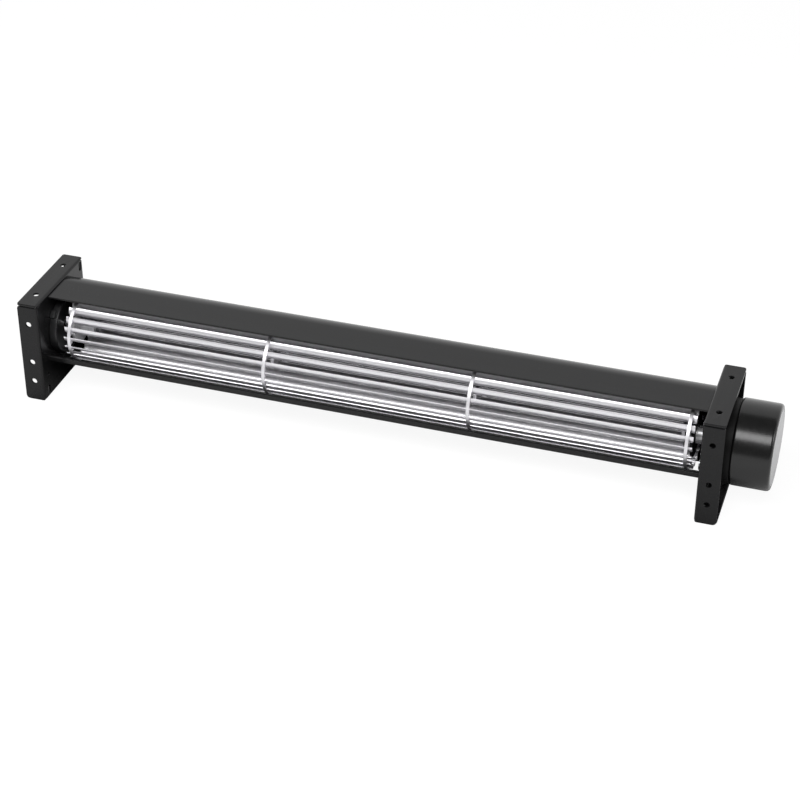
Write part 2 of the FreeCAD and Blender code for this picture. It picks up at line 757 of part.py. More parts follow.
def parts():
    """Every piece by its name."""
    made = {
        "end_plate_left": end_plate(left_face, -1, carrier_boss_radius + carrier_hole_clearance,
                                    small_screw_radius + screw_hole_clearance,
                                    carrier_screw_circle_radius),
        "end_plate_right": end_plate(right_face, 1, base_boss_radius + carrier_hole_clearance,
                                     motor_screw_radius + screw_hole_clearance,
                                     motor_screw_circle_radius),
        "scroll_sheet": sheet(scroll_section, 0),
        "stabiliser_sheet": sheet(stabiliser_section, 1),
        "end_disc_left": disc(first_disc_x, left_hub_radius),
        "end_disc_right": disc(last_disc_x, coupling_waist_radius),
    }
    for number in range(1, disc_count - 1):
        made[f"middle_disc_{number}"] = disc(first_disc_x + disc_pitch * number,
                                             middle_disc_bore_radius)
    for number, blade in enumerate(blades(), 1):
        made[f"blade_{number:02d}"] = blade

    rubber_end = left_face + carrier_flange_thickness - carrier_lip_thickness
    felt_end = carrier_boss_end + felt_thickness
    made["bearing_carrier"] = bearing_carrier()
    made["bearing_rubber"] = ring(felt_end, rubber_end, rubber_radius, sleeve_radius)
    made["sleeve_bearing"] = ring(felt_end, rubber_end, sleeve_radius,
                                  pin_radius + running_clearance)
    made["oil_felt"] = ring(carrier_boss_end, felt_end, rubber_radius, felt_bore_radius)
    made["bearing_cap"] = bearing_cap()
    made["carrier_screws"] = Part.makeCompound([
        pan_head_screw(around(0, carrier_screw_circle_radius, degrees),
                       left_face - plate_thickness, -1, small_screw_radius,
                       plate_thickness + carrier_flange_thickness * 0.8, small_head_radius,
                       small_head_height) for degrees in THREE_PLACES])
    made["left_hub"] = left_hub()
    hub_end = first_disc_x - disc_thickness / 2 - left_hub_flange_thickness + left_hub_length
    made["journal_pin"] = rod(left_face + pin_start, hub_end, pin_radius)

    made["drive_hub"] = drive_hub()
    made["hub_coupling"] = hub_coupling()
    made["set_screw"] = set_screw()
    made["motor_base"] = motor_base()
    made["motor_cap"] = motor_cap()
    made["motor_plate"] = rod(right_face + motor_reach - label_thickness,
                              right_face + motor_reach, label_radius)
    made["motor_bushes"] = Part.makeCompound([
        ring(start, end, bush_radius, pin_radius + running_clearance) for start, end in (
            (right_face - base_boss_projection, front_bush_end), (rear_bush_start, cap_floor))])
    made["stator_core"] = stator_core()
    made["insulators"] = Part.makeCompound([
        insulator(core_front - insulator_thickness), insulator(core_back)])
    for number, coil in enumerate(coils(), 1):
        made[f"coil_{number}"] = coil
    made["circuit_board"] = circuit_board()
    made["hall_sensor"] = hall_sensor()
    made["lead_grommet"] = lead_grommet()
    made["motor_screws"] = Part.makeCompound([
        pan_head_screw(around(0, motor_screw_circle_radius, degrees), right_face, -1,
                       motor_screw_radius, post_end - right_face, motor_head_radius,
                       motor_head_height) for degrees in THREE_PLACES])
    made["motor_shaft"] = motor_shaft()
    made["rotor_sleeve"] = rotor_sleeve()
    made["magnet_ring"] = ring(core_front - magnet_overhang, core_back + magnet_overhang,
                               magnet_radius, magnet_bore_radius)
    made["thrust_washers"] = Part.makeCompound([
        thrust_washer(front_bush_end + washer_play),
        thrust_washer(rear_bush_start - washer_play - washer_thickness)])
    made["retaining_clip"] = retaining_clip()
    return made


os.makedirs("parts", exist_ok=True)
for name, shape in parts().items():
    shape.exportStep(f"parts/{name}.step")
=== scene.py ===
import math

import bmesh
import bpy
import numpy as np
from mathutils import Matrix, Vector


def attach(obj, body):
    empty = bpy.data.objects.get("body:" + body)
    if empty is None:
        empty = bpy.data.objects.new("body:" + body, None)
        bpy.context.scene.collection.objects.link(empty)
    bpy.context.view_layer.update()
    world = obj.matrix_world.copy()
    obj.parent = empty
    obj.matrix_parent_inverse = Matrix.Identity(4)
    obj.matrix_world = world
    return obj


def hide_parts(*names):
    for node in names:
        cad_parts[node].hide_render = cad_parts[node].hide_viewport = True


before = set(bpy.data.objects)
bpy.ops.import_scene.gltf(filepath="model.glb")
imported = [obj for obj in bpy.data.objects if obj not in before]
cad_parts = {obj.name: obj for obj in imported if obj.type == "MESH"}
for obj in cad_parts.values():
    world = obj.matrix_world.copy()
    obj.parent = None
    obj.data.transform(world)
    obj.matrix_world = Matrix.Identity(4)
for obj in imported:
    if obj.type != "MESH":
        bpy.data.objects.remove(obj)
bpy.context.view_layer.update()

# The fan lies along X with its motor at +X and its open front at -Y, and stands on z = 0.
# Shapes are worked out in millimetres and become metres when their mesh is written. Depths
# run back from the fan's front and heights up from the floor, and the impeller's axis lies a
# little in front of the middle.

# End plates: two pans of 1 mm steel. Each is blanked flat with all its holes and folded outward
# on its four sides, so that a flange ends just under the next one at every corner, and it is
# powder-coated satin black.
left_face, right_face = -153.75, 135.30
axis_back, axis_height = -1.1, 28.0
plate_height, plate_depth, plate_thickness = 48.2, 46.2, 1.0
flange_reach, plate_bend, seam, corner_relief = 9.3, 1.1, 0.35, 0.25
mount_radius, mount_reach, mount_heights, mount_depths = 1.22, 4.65, (9.5, 19.2, 38.2), (9.6, 36.8)
sheet_thickness, slope_dip, lip_front = 0.8, math.radians(30.209), 4.2
tab_slot, tab_heights, slope_slot, slope_slot_depth = (5.2, 1.0), (10.0, 24.0), (7.1, 1.0), 25.0
screw_turns = np.radians([90, 210, 330])


def soft_corners(points, setback, steps=4):
    """Rounds the corners of a closed run of points. With P a corner and A and B the points
    set back from it along its two sides, the corner becomes (1-s)^2 A + 2s(1-s) P + s^2 B."""
    points = np.asarray(points, float)
    before = np.roll(points, 1, axis=0) - points
    after = np.roll(points, -1, axis=0) - points
    setback = np.broadcast_to(setback, len(points))[:, None]
    a = points + before / np.linalg.norm(before, axis=1, keepdims=True) * setback
    b = points + after / np.linalg.norm(after, axis=1, keepdims=True) * setback
    s = np.linspace(0, 1, steps)[:, None, None]
    run = ((1 - s) ** 2 * a + 2 * s * (1 - s) * points + s ** 2 * b).transpose(1, 0, 2)
    run = run.reshape(-1, 2)
    return run[np.linalg.norm(run - np.roll(run, 1, axis=0), axis=1) > 1e-5]


def round_hole(across, up, radius, points=36):
    """A circle of points, taken clockwise as holes are."""
    turn = -np.arange(points) * 2 * np.pi / points
    return np.stack([across + radius * np.cos(turn), up + radius * np.sin(turn)], 1)


def slot_hole(across, up, width, height, tilt=0.0, setback=0.3):
    """A rectangle with soft corners turned by tilt, taken clockwise as holes are."""
    w, h = width / 2, height / 2
    run = soft_corners([(-w, -h), (-w, h), (w, h), (w, -h)], setback)
    c, s = math.cos(tilt), math.sin(tilt)
    return run @ np.array([[c, s], [-s, c]]) + (across, up)


def blank(runs, thickness, edge, creases=()):
    """A flat sheet between z = 0 and its thickness, cut along closed runs of points: its
    outline first, then its holes. Its cut edges are rounded by edge, and it is divided
    along the creases, each (axis, place), so that it can be bent there."""
    curve = bpy.data.curves.new("blank", "CURVE")
    curve.dimensions, curve.fill_mode = "2D", "BOTH"
    curve.extrude, curve.bevel_depth = thickness / 2 - edge, edge
    curve.bevel_resolution, curve.offset = 1, -edge
    for run in runs:
        spline = curve.splines.new("POLY")
        spline.points.add(len(run) - 1)
        spline.points.foreach_set("co", np.pad(run, ((0, 0), (0, 2))).ravel())
        spline.use_cyclic_u = True
    carrier = bpy.data.objects.new("blank", curve)
    mesh = bpy.data.meshes.new_from_object(carrier)
    bpy.data.objects.remove(carrier)
    bm = bmesh.new()
    bm.from_mesh(mesh)
    bpy.data.meshes.remove(mesh)
    bmesh.ops.remove_doubles(bm, verts=bm.verts[:], dist=1e-3)
    for axis, place in creases:
        bmesh.ops.bisect_plane(bm, geom=bm.verts[:] + bm.edges[:] + bm.faces[:], dist=1e-4,
                               plane_co=np.eye(3)[axis] * place, plane_no=np.eye(3)[axis])
    bmesh.ops.recalc_face_normals(bm, faces=bm.faces[:])
    points = np.array([vertex.co for vertex in bm.verts]) + (0, 0, thickness / 2)
    bm.verts.index_update()
    faces = [[vertex.index for vertex in face.verts] for face in bm.faces]
    bm.free()
    return points, faces


def folded(place, depth, start, radius, thickness, angle=math.pi / 2):
    """Bends a sheet that lies along `place` once it is past start. Its middle layer keeps its
    length round the bend: with t the turn reached there, a point that lies `depth` below the
    outer face comes to start + (radius - depth) sin t across and
    radius - (radius - depth) cos t down, and what is past the bend runs on straight."""
    past = np.maximum(place - start, 0)
    turn = np.minimum(past / (radius - thickness / 2), angle)
    straight = past - turn * (radius - thickness / 2)
    across = np.minimum(place, start) + (radius - depth) * np.sin(turn) + straight * np.cos(turn)
    down = radius - (radius - depth) * np.cos(turn) + straight * np.sin(turn)
    return across, down


def piece(name, points, faces, material, body, slot, *nodes):
    """Writes a shape in millimetres into a mesh in metres, with its faces outward, and hands
    it to the body it moves with. Edges sharper than 35 degrees stay sharp."""
    mesh = bpy.data.meshes.new(name)
    mesh.from_pydata((np.asarray(points) / 1000).tolist(), [], [list(face) for face in faces])
    bm = bmesh.new()
    bm.from_mesh(mesh)
    bmesh.ops.remove_doubles(bm, verts=bm.verts[:], dist=1e-7)
    bmesh.ops.recalc_face_normals(bm, faces=bm.faces[:])
    bm.to_mesh(mesh)
    bm.free()
    mesh.shade_smooth()
    mesh.set_sharp_from_angle(angle=math.radians(35))
    made = bpy.data.objects.new(name, mesh)
    bpy.context.scene.collection.objects.link(made)
    mesh.materials.append(material)
    weighted = made.modifiers.new("weighted_normals", "WEIGHTED_NORMAL")
    weighted.keep_sharp = True
    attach(made, body)
    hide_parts(*nodes)


def finish_of(name, dark, light, rough, metal=0.0, grain=(1, 1, 1), bump=0.1, shine=0.5,
              coat=0.0):
    """A finish with its own grain. `grain` is the number of marks per millimetre along each
    axis; noise of that size moves the colour between dark and light and the roughness
    between its two values, and a finer one raises the surface by `bump` times 0.05 mm."""
    material = bpy.data.materials.new(name)
    material.use_nodes = True
    nodes, links = material.node_tree.nodes, material.node_tree.links
    shader = nodes["Principled BSDF"]
    shader.inputs["Metallic"].default_value = metal
    shader.inputs["Specular IOR Level"].default_value = shine
    shader.inputs["Coat Weight"].default_value = coat
    shader.inputs["Coat Roughness"].default_value = 0.08
    place = nodes.new("ShaderNodeTexCoord")
    scaled = nodes.new("ShaderNodeMapping")
    scaled.inputs["Scale"].default_value = [count * 1000 for count in grain]
    links.new(place.outputs["Object"], scaled.inputs["Vector"])
    marks = nodes.new("ShaderNodeTexNoise")
    marks.inputs["Scale"].default_value = 0.35
    marks.inputs["Detail"].default_value = 5.0
    fine = nodes.new("ShaderNodeTexNoise")
    fine.inputs["Scale"].default_value = 1.0
    fine.inputs["Detail"].default_value = 3.0
    for noise in (marks, fine):
        links.new(scaled.outputs["Vector"], noise.inputs["Vector"])
    spread = nodes.new("ShaderNodeMapRange")
    spread.inputs["From Min"].default_value = 0.3
    spread.inputs["From Max"].default_value = 0.7
    links.new(marks.outputs["Fac"], spread.inputs["Value"])
    colour = nodes.new("ShaderNodeMix")
    colour.data_type = "RGBA"
    colour.inputs[6].default_value = (*dark, 1)
    colour.inputs[7].default_value = (*light, 1)
    links.new(spread.outputs["Result"], colour.inputs["Factor"])
    links.new(colour.outputs[2], shader.inputs["Base Color"])
    gloss = nodes.new("ShaderNodeMapRange")
    gloss.inputs["From Min"].default_value = 0.25
    gloss.inputs["From Max"].default_value = 0.75
    gloss.inputs["To Min"].default_value = rough[0]
    gloss.inputs["To Max"].default_value = rough[1]
    links.new(fine.outputs["Fac"], gloss.inputs["Value"])
    links.new(gloss.outputs["Result"], shader.inputs["Roughness"])
    relief = nodes.new("ShaderNodeBump")
    relief.inputs["Strength"].default_value = bump
    relief.inputs["Distance"].default_value = 0.00005
    links.new(fine.outputs["Fac"], relief.inputs["Height"])
    links.new(relief.outputs["Normal"], shader.inputs["Normal"])
    return material


black_paint = finish_of("black_paint", (0.008, 0.008, 0.0085), (0.011, 0.011, 0.0115),
                        (0.20, 0.28), grain=(2.2, 2.2, 2.2), bump=0.08, shine=0.27)

middle = plate_height / 2
half = np.array([plate_depth, plate_height]) / 2 - plate_bend
arc = (plate_bend - plate_thickness / 2) * math.pi / 2
(a, b), (p, q) = half, half + arc + flange_reach - plate_bend
back_off = plate_thickness + seam
upper = np.array([(p, middle - back_off), (a, middle - back_off), (a, b + corner_relief),
                  (plate_depth / 2, b + corner_relief), (plate_depth / 2, q)])
lower = np.array([(plate_depth / 2 - back_off, -q), (plate_depth / 2 - back_off, -b),
                  (a + corner_relief, -b), (a + corner_relief, -middle), (p, -middle)])
outline = soft_corners(
    np.concatenate([upper, upper[::-1] * (-1, 1), lower[::-1] * (-1, 1), lower]),
    [1.2, 0.15, 0.15, 0.3, 1.2, 1.2, 0.3, 0.15, 0.15, 1.2,
     2.0, 0.9, 0.15, 0.15, 1.2, 1.2, 0.15, 0.15, 0.9, 2.0], steps=6)
mount_lines = half + arc + mount_reach - plate_bend
mount_holes = [round_hole(side * mount_lines[0], height - middle, mount_radius)
               for side in (-1, 1) for height in mount_heights]
mount_holes += [round_hole(depth - plate_depth / 2, side * mount_lines[1], mount_radius)
                for side in (-1, 1) for depth in mount_depths]
slots = [round_hole(5.0 - plate_depth / 2, 11.1 - middle, 0.9, 24)]
slots += [slot_hole(depth - plate_depth / 2, height - middle, 2.2, 4.2, setback=1.05)
          for depth, height in ((4.6, 3.5), (43.4, 44.9))]
slots.append(slot_hole(16.5 - plate_depth / 2, 46.55 - middle, *tab_slot))
slots += [slot_hole(42.2 - plate_depth / 2, height - middle, *tab_slot[::-1])
          for height in tab_heights]
slots.append(slot_hole(
    slope_slot_depth - plate_depth / 2 + sheet_thickness / 2 * math.sin(slope_dip),
    18.75 - (slope_slot_depth - lip_front) * math.tan(slope_dip)
    + sheet_thickness / 2 * math.cos(slope_dip) - middle, *slope_slot, tilt=-slope_dip))
creases = [(axis, side * place) for axis in (0, 1) for side in (-1, 1)
           for place in half[axis] + np.linspace(0, arc, 7)]
for name, face, outward, bore, screw_hole, screw_circle in (
        ("end_plate_left", left_face, -1, 8.6, 1.35, 10.9),
        ("end_plate_right", right_face, 1, 7.1, 1.6, 13.0)):
    axis_holes = [round_hole(axis_back, axis_height - middle, bore, 72)]
    axis_holes += [round_hole(axis_back + screw_circle * math.cos(turn),
                              axis_height - middle + screw_circle * math.sin(turn), screw_hole)
                   for turn in screw_turns]
    points, faces = blank([outline] + mount_holes + axis_holes + slots, plate_thickness, 0.24,
                          creases)
    across, up, out = points.T
    # The upright flanges run on down past the lower fold, so that fold leaves them straight,
    # and the top flange runs on past the sides' folds.
    on_upright = (np.abs(across) > a) & (up < b + 0.1)
    depth_place, out = folded(np.abs(across), out, np.where(up < b + 0.1, a, np.inf),
                              plate_bend, plate_thickness)
    height_place, out = folded(np.abs(up), out, np.where(on_upright, np.inf, b),
                               plate_bend, plate_thickness)
    points = np.stack([face + outward * out, np.sign(across) * depth_place,
                       middle + np.sign(up) * height_place], 1)
    piece(name, points, faces, black_paint, "housing", "black_paint", name)

# Scroll sheet: 0.8 mm steel, flat over the impeller and rolled down behind it, held by three
# tabs at each end that go through the plates, and coated together with them.
scroll_front, scroll_back, scroll_top, scroll_foot, scroll_bend = 11.3, 42.6, 46.95, 1.0, 16.6
scroll_flat = scroll_back - scroll_bend - scroll_front
scroll_arc = (scroll_bend - sheet_thickness / 2) * math.pi / 2
scroll_drop = scroll_top - scroll_bend - scroll_foot
half_length, tab_width, tab_reach = 144.525, 5.0, 1.8


def sheet_with_tabs(length, tabs):
    """The outline of a sheet as long as the housing and `length` wide, with a tab on both
    ends at each (middle, width) measured across it."""
    side = [(0.0, half_length)]
    for middle, width in tabs:
        side += [(middle - width / 2, half_length), (middle - width / 2, half_length + tab_reach),
                 (middle + width / 2, half_length + tab_reach), (middle + width / 2, half_length)]
    side = np.array(side + [(length, half_length)])
    return soft_corners(np.concatenate([side * (1, -1), side[::-1]]), 0.25, steps=3)


tabs = [(5.2, tab_width)]
tabs += [(scroll_flat + scroll_arc + (scroll_top - scroll_bend) - height, tab_width)
         for height in tab_heights[::-1]]
points, faces = blank(
    [sheet_with_tabs(scroll_flat + scroll_arc + scroll_drop, tabs)], sheet_thickness, 0.12,
    [(0, place) for place in scroll_flat + np.linspace(0, scroll_arc, 33)])
across, along, depth = points.T
across, down = folded(across, depth, scroll_flat, scroll_bend, sheet_thickness)
points = np.stack([along + (left_face + right_face) / 2,
                   scroll_front + across - plate_depth / 2, scroll_top - down], 1)
piece("scroll_sheet", points, faces, black_paint, "housing", "black_paint", "scroll_sheet")

# Stabiliser sheet: the same steel, a short lip at the front that leans back as it goes down,
# and a slope that passes close under the impeller, with one wide tab at each end.
lip_lean, lip_length, lip_bend, lip_top = math.radians(25), 3.483, 1.2, 21.05
slope_reach, slope_tab, slope_tab_width = 27.21, 22.37, 6.95
lip_angle = math.pi / 2 - slope_dip - lip_lean
lip_setback = lip_bend * math.tan(lip_angle / 2)
lip_flat = lip_length - lip_setback
lip_arc = (lip_bend - sheet_thickness / 2) * lip_angle
slope_length = slope_reach - lip_setback
tabs = [(lip_flat + lip_arc + slope_tab - lip_setback, slope_tab_width)]
points, faces = blank([sheet_with_tabs(lip_flat + lip_arc + slope_length, tabs)],
                      sheet_thickness, 0.12,
                      [(0, place) for place in lip_flat + np.linspace(0, lip_arc, 6)])
across, along, depth = points.T
down, back = folded(across, depth, lip_flat, lip_bend, sheet_thickness, lip_angle)
c, s = math.cos(lip_lean), math.sin(lip_lean)
points = np.stack([along + (left_face + right_face) / 2,
                   lip_front + back * c + down * s - plate_depth / 2,
                   lip_top - down * c + back * s], 1)
piece("stabiliser_sheet", points, faces, black_paint, "housing", "black_paint",
      "stabiliser_sheet")

# Impeller discs: four round blanks of 1.5 mm bright aluminium, punched with twenty bowed
# slots near the rim. The blades are pushed through the slots and staked.
disc_places = left_face + np.array([10.4, 100.65, 190.9, 282.2])
disc_thickness, disc_radius = 1.5, 15.1
blade_turns = np.radians(16.2 + 18 * np.arange(20))
bow_radius, blade_root, blade_tip, blade_thickness = 3.1, 11.7, 14.65, 0.4
blade_lean, slot_clearance = math.radians(-14), 0.05


def turned_about(run, turn):
    """A run of (across, up) points turned by an angle about the axis."""
    c, s = math.cos(turn), math.sin(turn)
    return run @ np.array([[c, s], [-s, c]])


def bow(grow=0.0):
    """The section of a blade that lies straight back from the axis. It leaves the root circle
    radially and bends over: root + (R sin t, R cos t - R) with R the bow's radius, closed by
    a second arc one blade thickness away. t ends where the arc meets the tip circle, and the
    whole section then leans about its tip."""
    steps = 7
    turns = np.linspace(0, np.pi / 2, 400)
    reach = np.hypot(blade_root + bow_radius * np.sin(turns), bow_radius * (1 - np.cos(turns)))
    last = np.interp(blade_tip, reach, turns)
    t = np.linspace(-grow / bow_radius, last + grow / bow_radius, steps)
    half = blade_thickness / 2 + grow
    sides = [np.stack([blade_root + r * np.sin(t), r * np.cos(t) - bow_radius], 1)
             for r in (bow_radius - half, bow_radius + half)]
    run = np.concatenate([sides[0], sides[1][::-1]])
    tip = (sides[0][-1] + sides[1][-1]) / 2
    run = turned_about(run - tip, blade_lean) + tip
    setback = np.zeros(len(run))
    setback[[0, steps - 1, steps, -1]] = half * 0.6
    return soft_corners(run, setback)


def rolled_aluminium(name, grain, bump, rough):
    return finish_of(name, (0.86, 0.85, 0.88), (0.94, 0.93, 0.96), rough, metal=0.90,
                     grain=grain, bump=bump)


disc_metal = rolled_aluminium("bright_aluminium_disc", (3.0, 1.2, 1.2), 0.12, (0.42, 0.52))
bores = (4.0, 4.0, 4.0, 8.0)
names = ("end_disc_left", "middle_disc_1", "middle_disc_2", "end_disc_right")
for name, place, bore in zip(names, disc_places, bores):
    runs = [round_hole(0, 0, disc_radius, 180)[::-1], round_hole(0, 0, bore, 72)]
    runs += [turned_about(bow(slot_clearance), turn)[::-1] for turn in blade_turns]
    points, faces = blank(runs, disc_thickness, 0.14)
    points = np.stack([place - disc_thickness / 2 + points[:, 2], axis_back + points[:, 0],
                       axis_height + points[:, 1]], 1)
    piece(name, points, faces, disc_metal, "rotor", "bright_aluminium", name)

# Blades: twenty strips of 0.4 mm bright rolled aluminium, bowed along their whole length and
# as long as the impeller. Their ends, just past the end discs, are upset by a punch so that
# they can't slip out, and each is a little out of true between the discs.
blade_overhang, out_of_true = 2.45, math.radians(0.25)
blade_start, blade_end = disc_places[0] - blade_overhang, disc_places[-1] + blade_overhang
near_ends, upset_there = [0.0, 0.2, 0.9, 1.2, 1.7], [0.6, 1, 1, 0.8, 0]
upset_narrower, upset_thicker = 0.12, 1.6
blade_metal = rolled_aluminium("bright_aluminium_blade", (0.01, 0.5, 0.5), 0.0, (0.37, 0.43))


def grid_faces(rows, columns, close_rows=False):
    """The quads of a grid of points whose columns run round a closed section."""
    row = np.arange(rows if close_rows else rows - 1)[:, None]
    column = np.arange(columns)[None, :]
    on, turn = (row + 1) % rows, (column + 1) % columns
    corners = (row * columns + column, row * columns + turn, on * columns + turn,
               on * columns + column)
    return np.stack([np.broadcast_to(c, (row.size, columns)) for c in corners], -1).reshape(-1, 4)


wander = np.random.default_rng(4)
section = bow()
heart = section.mean(0)
bow_line = (section + section[::-1])[:, 1] / 2
for number, turn in enumerate(blade_turns, 1):
    x = np.unique(np.concatenate([np.linspace(*disc_places[[0, -1]], 47), disc_places,
                                  np.add(blade_start, near_ends),
                                  np.subtract(blade_end, near_ends)]))
    free = np.sin(np.pi * np.interp(x, disc_places, np.arange(4))) ** 2
    tilt = free * wander.uniform(0.2, 0.9) * np.sin(
        x / wander.uniform(22, 40) + wander.uniform(0, 6)) * out_of_true
    upset = np.maximum(np.interp(x - blade_start, near_ends, upset_there),
                       np.interp(blade_end - x, near_ends, upset_there))[:, None]
    across = heart[0] + (section[:, 0] - heart[0]) * (1 - upset_narrower * upset)
    up = bow_line + (section[:, 1] - bow_line) * (1 + upset_thicker * upset)
    c, s = np.cos(turn + tilt)[:, None], np.sin(turn + tilt)[:, None]
    points = np.stack([np.broadcast_to(x[:, None], across.shape),
                       axis_back + across * c - up * s,
                       axis_height + across * s + up * c], -1)
    count = len(section)
    faces = grid_faces(len(x), count).tolist()
    faces += [list(range(count)), list(range((len(x) - 1) * count, len(x) * count))]
    piece(f"blade_{number:02d}", points.reshape(-1, 3), faces, blade_metal, "rotor",
          "bright_aluminium", f"blade_{number:02d}")

# Hubs: two turned aluminium sleeves. The left one is pressed on the free end's pin and
# through its disc, and the drive hub is held on the motor shaft by a set screw.


def turned(run, steps, setback, swell=None):
    """A closed run of (x, radius) points, its corners softened, carried round the impeller's
    axis: (x, axis + r cos t, axis + r sin t). `swell` may change the radius by x, r and t."""
    run = soft_corners(run, setback)
    t = (np.arange(steps) * 2 * np.pi / steps)[:, None]
    x, r = np.broadcast_to(run[:, 0], (steps, len(run))), run[:, 1] + 0 * t
    if swell is not None:
        r = swell(x, r, t)
    points = np.stack([x, axis_back + r * np.cos(t), axis_height + r * np.sin(t)], -1)
    return points.reshape(-1, 3), grid_faces(steps, len(run), close_rows=True)


turned_metal = finish_of("turned_aluminium", (0.62, 0.62, 0.63), (0.76, 0.76, 0.77),
                         (0.30, 0.42), metal=0.55, grain=(5.0, 0.4, 0.4), bump=0.2)
first, last = disc_places[0], disc_places[-1]
outer = first - disc_thickness / 2
piece("left_hub", *turned([(outer - 1.4, 2.0), (outer - 1.4, 7.5), (outer, 7.5), (outer, 4.0),
                           (outer + 7.6, 4.0), (outer + 7.6, 2.0)], 72, 0.2),
      turned_metal, "rotor", "turned_aluminium", "left_hub")
piece("drive_hub", *turned([(last - 4.0, 2.0), (last - 4.0, 4.0), (last + 4.7, 4.0),
                            (last + 4.7, 2.0)], 72, 0.25),
      turned_metal, "rotor", "turned_aluminium", "drive_hub")

# Coupling: a grooved ring of black rubber that snaps into the right disc's bore and takes
# up the motor's vibration.
rubber = finish_of("black_rubber", (0.010, 0.010, 0.010), (0.022, 0.022, 0.022), (0.55, 0.75),
                   grain=(1.5, 1.5, 1.5), bump=0.35, shine=0.35)
near, far, lip = last - disc_thickness / 2, last + disc_thickness / 2, 1.2
piece("hub_coupling", *turned([(near - lip, 4.0), (far + lip, 4.0), (far + lip, 9.5), (far, 9.5),
                               (far, 8.0), (near, 8.0), (near, 9.5), (near - lip, 9.5)], 72,
                              [0.1, 0.1, 0.5, 0.1, 0.05, 0.05, 0.1, 0.5]),
      rubber, "rotor", "black_rubber", "hub_coupling")

# Bearing carrier: a moulded black cup on the left plate, with a raised rim and three lugs on
# its edge. Its boss goes through the plate and holds the bearing in a rubber ring.
moulding = finish_of("black_moulding", (0.012, 0.012, 0.013), (0.022, 0.022, 0.023),
                     (0.34, 0.46), grain=(1.8, 1.8, 1.8), bump=0.3, shine=0.45)


def with_lugs(x, r, t):
    """Pushes the flange's edge out by 1.4 mm within 6.4 degrees of the middle of each of three
    lugs, and by less and less up to 7.2 degrees from it."""
    off = np.abs((t - np.radians(15) + np.pi / 3) % (2 * np.pi / 3) - np.pi / 3)
    push = np.clip((np.radians(7.2) - off) / np.radians(0.8), 0, 1)
    on_flange = np.clip((left_face + 2.5 - x) / 0.3, 0, 1)
    at_edge = np.clip((r - 12.3) / 0.4, 0, 1)
    return r + 1.4 * push * on_flange * at_edge


boss_end, flange = left_face - 5.6, left_face + 2.2
piece("bearing_carrier", *turned(
    [(boss_end, 6.5), (flange - 0.8, 6.5), (flange - 0.8, 2.8), (flange, 2.8), (flange, 11.5),
     (left_face + 3.4, 11.5), (left_face + 3.4, 12.8), (flange + 0.1, 12.8), (flange, 12.8),
     (left_face, 12.8), (left_face, 8.5), (boss_end, 8.5)], 540,
    [0.1, 0.1, 0.1, 0.25, 0.4, 0.45, 0.5, 0.04, 0.04, 0.3, 0.1, 0.1], with_lugs),
      moulding, "housing", "black_moulding", "bearing_carrier")
piece("bearing_cap", *turned(
    [(boss_end - 0.9, 0.0), (boss_end - 0.9, 9.4), (boss_end + 2.4, 9.4), (boss_end + 2.4, 8.5),
     (boss_end, 8.5), (boss_end, 0.0)], 96, [0, 0.9, 0.2, 0.1, 0.1, 0]),
      moulding, "housing", "black_moulding", "bearing_cap")

# Screws: zinc-plated pan heads with a cross recess, three into the carrier from the pan side
# and three into the motor from the impeller side.
plated = finish_of("plated_screw", (0.52, 0.53, 0.55), (0.70, 0.71, 0.73), (0.22, 0.36),
                   metal=1.0, grain=(1.5, 1.5, 1.5), bump=0.1)


def pan_screws(name, seat, shank, head, height, length, circle):
    """Three screws along X whose heads stand on the seat towards -X. A head is a disc under a
    second disc with a cross cut through it, whose arms are 0.58 of the head's radius long and
    0.26 of it wide, and the shank is a long round blank."""
    arm, width = head * 0.58, head * 0.13
    cross = [(-width, -arm), (-width, -width), (-arm, -width), (-arm, width), (-width, width),
             (-width, arm), (width, arm), (width, width), (arm, width), (arm, -width),
             (width, -width), (width, -arm)]
    top, top_faces = blank([round_hole(0, 0, head, 48)[::-1], np.array(cross)],
                           height * 0.6, height * 0.25)
    low, low_faces = blank([round_hole(0, 0, head, 48)[::-1]], height * 0.45, 0.03)
    stem, stem_faces = blank([round_hole(0, 0, shank, 36)[::-1]], length, 0.1)
    stacks = ((top, top_faces, height * 0.4), (low, low_faces, 0.0), (stem, stem_faces, -length))
    points, faces, count = [], [], 0
    for turn in screw_turns:
        for part, part_faces, rise in stacks:
            points.append(np.stack([seat - rise - part[:, 2],
                                    axis_back + circle * math.cos(turn) + part[:, 0],
                                    axis_height + circle * math.sin(turn) + part[:, 1]], 1))
            faces += [[index + count for index in face] for face in part_faces]
            count += len(part)
    piece(name, np.concatenate(points), faces, plated, "housing", "plated_screw", name)


pan_screws("carrier_screws", left_face - plate_thickness, 1.25, 2.3, 1.2, 2.7, 10.9)
pan_screws("motor_screws", right_face, 1.5, 2.7, 1.4, 5.1, 13.0)

# Motor case: two deep-drawn halves, the front one satin black and the rear one gloss black,
# closed on each other. The front half has the bush housing that goes through the plate.
gloss_case = finish_of("gloss_case", (0.004, 0.004, 0.004), (0.006, 0.006, 0.006), (0.20, 0.26),
                       grain=(0.8, 0.8, 0.8), bump=0.03, shine=0.5)
satin_case = finish_of("satin_case", (0.004, 0.004, 0.004), (0.006, 0.006, 0.006), (0.42, 0.52),
                       grain=(1.5, 1.5, 1.5), bump=0.2, shine=0.18)
outside, split, end = right_face + 1.0, right_face + 11.3, right_face + 27.75
piece("motor_base", *turned(
    [(right_face - 1.4, 4.0), (right_face - 1.4, 7.0), (outside, 7.0), (outside, 17.45),
     (split, 17.45), (split, 16.85), (outside + 1.6, 16.85), (outside + 1.6, 5.4),
     (right_face + 4.0, 5.4), (right_face + 4.0, 4.0)], 144,
    [0.1, 0.4, 0.1, 0.3, 0.25, 0.1, 0.3, 0.3, 0.1, 0.1]),
      satin_case, "housing", "gloss_case", "motor_base")
